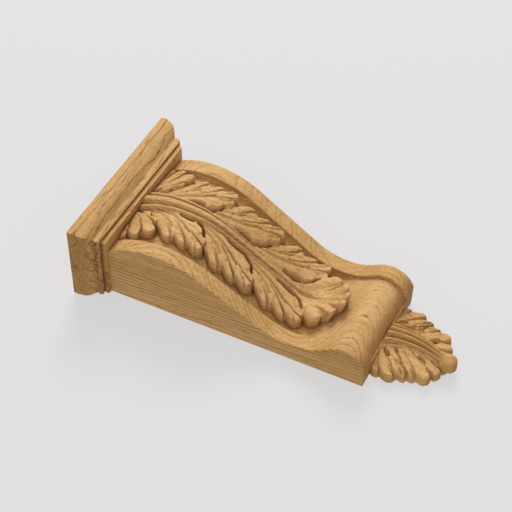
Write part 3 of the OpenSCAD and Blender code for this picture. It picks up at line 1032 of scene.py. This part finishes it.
@dataclass
class CapBoard:
    """The moulded board on top, swept round three sides with mitred corners.

    Attributes:
        overhang: how far its top stands out past the lower fillet.
        bead, round: centre and half-axes of the bead, and of the quarter round below the edge.
    """

    fillet_half_w: float = 51.5
    fillet_depth: float = 51.0
    height: float = 22.5
    overhang: float = 11.0
    edge_h: float = 5.5
    fillet_h: float = 3.2
    ease: float = 0.7
    bead: tuple[float, float, float, float] = (1.5, 5.3, 2.35, 2.9)
    round: tuple[float, float, float, float] = (1.7, -0.5, 8.75, 8.428)
    spacing: float = 1.6
    tool_mark: float = 0.06

    def profile(self) -> list[tuple[float, float, float]]:
        """The moulding's points, from the underside to the top.

        Returns:
            The overhang, the height above the underside and the painted shade value of each: high in the
            quirks, low on the edges for a painted highlight.
        """
        # The third value of each point is painted shade: high in the quirks and small hollows, low on the
        # edges for a painted highlight.
        low = self.height - self.edge_h
        out = [(-self.fillet_depth, 0.0, 0.5)] + [(-40.0 + 8 * k, 0.0, 0.5) for k in range(5)]
        out += [(-0.4, 0.0, 0.45), (0.2, 0.05, 0.4), (0.5, 0.35, 0.35)]
        out += [(0.5, 0.35 + (self.fillet_h - 0.6) * k / 4, 0.5) for k in range(1, 5)]
        out += [(0.42, self.fillet_h - 0.1, 0.6), (0.1, self.fillet_h + 0.05, 0.9)]
        out += [(0.05, self.fillet_h + 0.4, 1.0)]
        out += [(*point, 0.5) for point in bow(self.bead[:2], self.bead[2:], -48, 42, 8)]
        out += [(4.15, 8.15, 0.72), (4.4, 8.45, 0.7)]
        middle = (self.round[0], low + self.round[1])
        out += [(*point, 0.5) for point in bow(middle, self.round[2:], -62, 0, 12)]
        out += [(self.overhang - 0.5, low - 0.1, 0.75), (self.overhang - 0.45, low + 0.1, 0.75)]
        out += [(self.overhang - 0.15, low + 0.25, 0.4), (self.overhang, low + 0.5, 0.4)]
        out += [(self.overhang, low + 0.5 + (self.edge_h - 1.2) * k / 5, 0.5) for k in range(1, 6)]
        corner = (self.overhang - self.ease, self.height - self.ease)
        out += [(*point, 0.35) for point in bow(corner, (self.ease, self.ease), 18, 90, 4)]
        out += [(self.overhang - self.ease - 1.5, self.height, 0.5)]
        out += [(8 - 8.0 * k, self.height, 0.5) for k in range(8)]
        return out + [(-self.fillet_depth, self.height, 0.5)]

    def build(self, material: bpy.types.Material) -> bpy.types.Object:
        """Builds and dresses the cap board.

        Args:
            material: its oak.

        Returns:
            The piece.
        """
        over, up, painted_shade = np.array(self.profile()).T
        along = np.linspace(0, 1, int(self.fillet_depth / self.spacing))
        across = np.linspace(-1, 1, int(2 * self.fillet_half_w / self.spacing))[1:-1]
        wide, deep = self.fillet_half_w + over, self.fillet_depth + over
        columns = [(-wide, deep * t) for t in along] + [(wide * t, deep) for t in across]
        columns += [(wide, deep * t) for t in along[::-1]]
        points = np.stack([np.stack([x, d, self.height - up], -1) for x, d in columns], 1)
        x, depth, u = np.moveaxis(points, -1, 0)
        moulded = (over > 0.2) & (over < self.overhang - 0.1) & (up < self.height - 1)
        points[..., 2] = u + self.tool_mark * wander(0.8 * x + 0.9 * depth, 3 * u, 2.0) * moulded[:, None]
        hollow = np.repeat(painted_shade[:, None], len(columns), 1)
        piece = finish_piece(sheet(points, hollow), "moulded_cap", material, math.radians(40))
        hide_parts("cap_board")
        return piece


# ---- studio


@dataclass
class Studio:
    """Camera, soft light and the pale surface that the bracket lies against, in metres and watts.

    Attributes:
        eye, right, down, forward: the camera's place and its axes.
        lamps: name, place, size and power of each.
    """

    eye: Triple = (-0.5478, -0.7443, -0.2694)
    right: Triple = (0.4645, -0.0153, -0.8854)
    down: Triple = (-0.6656, 0.6535, -0.3605)
    forward: Triple = (0.5841, 0.7568, 0.2933)
    lens: float = 97.3
    film: float = 36.0
    surround: Colour = (1.0, 0.965, 0.885, 1)
    surround_strength: float = 0.62
    lamp_colour: Triple = (1.0, 0.975, 0.93)
    lamps: tuple = (("soft lamp", (1.8, -1.8, 0.9), 1.5, 62.0), ("fill lamp", (-2.0, -2.0, -0.5), 2.0, 11.0))
    surface_size: float = 8.0
    surface_gap: float = 0.0006
    paper: Colour = (0.165, 0.162, 0.16, 1)
    glow: Colour = (0.985, 0.972, 1.0, 1)
    glow_strength: float = 0.575

    def camera(self) -> None:
        """Sets up the camera."""
        data = bpy.data.cameras.new("camera")
        data.lens = self.lens
        data.sensor_width = self.film
        view = bpy.data.objects.new("camera", data)
        axes = Matrix((self.right, tuple(-v for v in self.down), tuple(-v for v in self.forward))).transposed()
        view.matrix_world = Matrix.Translation(Vector(self.eye)) @ axes.to_4x4()
        bpy.context.scene.collection.objects.link(view)
        bpy.context.scene.camera = view

    def light(self) -> None:
        """Sets up two large soft lamps and an even pale surround."""
        world = bpy.data.worlds.new("surround")
        world.use_nodes = True
        back = world.node_tree.nodes["Background"]
        back.inputs["Color"].default_value = self.surround
        back.inputs["Strength"].default_value = self.surround_strength
        bpy.context.scene.world = world
        for name, place, size, power in self.lamps:
            lamp = bpy.data.lights.new(name, "AREA")
            lamp.shape = "DISK"
            lamp.size = size
            lamp.energy = power
            lamp.color = self.lamp_colour
            item = bpy.data.objects.new(name, lamp)
            item.location = place
            item.rotation_euler = (-Vector(place)).to_track_quat("-Z", "Y").to_euler()
            bpy.context.scene.collection.objects.link(item)

    def surface(self) -> None:
        """Makes the pale surface, which is clear when it is looked at from behind."""
        bm = bmesh.new()
        bmesh.ops.create_grid(bm, x_segments=1, y_segments=1, size=self.surface_size / 2)
        bmesh.ops.rotate(bm, verts=bm.verts, cent=(0, 0, 0), matrix=Matrix.Rotation(math.radians(90), 3, "X"))
        bmesh.ops.translate(bm, verts=bm.verts, vec=(0, self.surface_gap, 0))
        mesh = bpy.data.meshes.new("pale_surface")
        bm.to_mesh(mesh)
        bm.free()
        material = bpy.data.materials.new("pale paper")
        material.use_nodes = True
        material.node_tree.nodes.clear()
        w = Wiring(material.node_tree)
        paper = w.add("ShaderNodeBsdfDiffuse", {"Color": self.paper})
        glow = w.add("ShaderNodeEmission", {"Color": self.glow, "Strength": self.glow_strength})
        lit = w.add("ShaderNodeAddShader", {0: paper.outputs[0], 1: glow.outputs[0]})
        clear = w.add("ShaderNodeBsdfTransparent")
        behind = w.add("ShaderNodeNewGeometry").outputs["Backfacing"]
        mix = w.add("ShaderNodeMixShader", {0: behind, 1: lit.outputs[0], 2: clear.outputs[0]})
        w.add("ShaderNodeOutputMaterial", {"Surface": mix.outputs[0]})
        mesh.materials.append(material)
        floor = bpy.data.objects.new("pale_surface", mesh)
        bpy.context.scene.collection.objects.link(floor)
        floor.visible_diffuse = floor.visible_glossy = floor.visible_shadow = False

    def build(self) -> None:
        """Sets up the whole studio."""
        self.camera()
        self.light()
        self.surface()
        bpy.context.scene.view_settings.view_transform = "Standard"


def report(piece: bpy.types.Object) -> None:
    """Logs a finished piece's name and triangle count."""
    LOG.info("%s: %d triangles", piece.name, sum(len(p.vertices) - 2 for p in piece.data.polygons))


def main() -> None:
    """Builds the bracket and its studio, in order."""
    logging.basicConfig(level=logging.INFO)
    figure, relief_shading = OakFigure().build(), PaintedReliefShading().build()
    carved = BareOak("carved oak", Grain.UPRIGHT, (70.0, 120.0), 2.4, streaks=0.9, rings=0.36,
                     side_rings=0.5).build(figure, relief_shading)
    capped = BareOak("cap oak", Grain.ACROSS, (-40.0, -36.0), 4.2, pore_amount=1.1, streaks=0.25,
                     rings=0.52, ripple=8.0, end_specks=0.95).build(figure, relief_shading)
    report(CapBoard().build(capped))
    report(CarvedBlock().build(carved))
    drop = LeafDrop()
    report(drop.build(carved))
    report(drop.build_ball(carved))
    Studio().build()


if __name__ == "__main__":
    main()
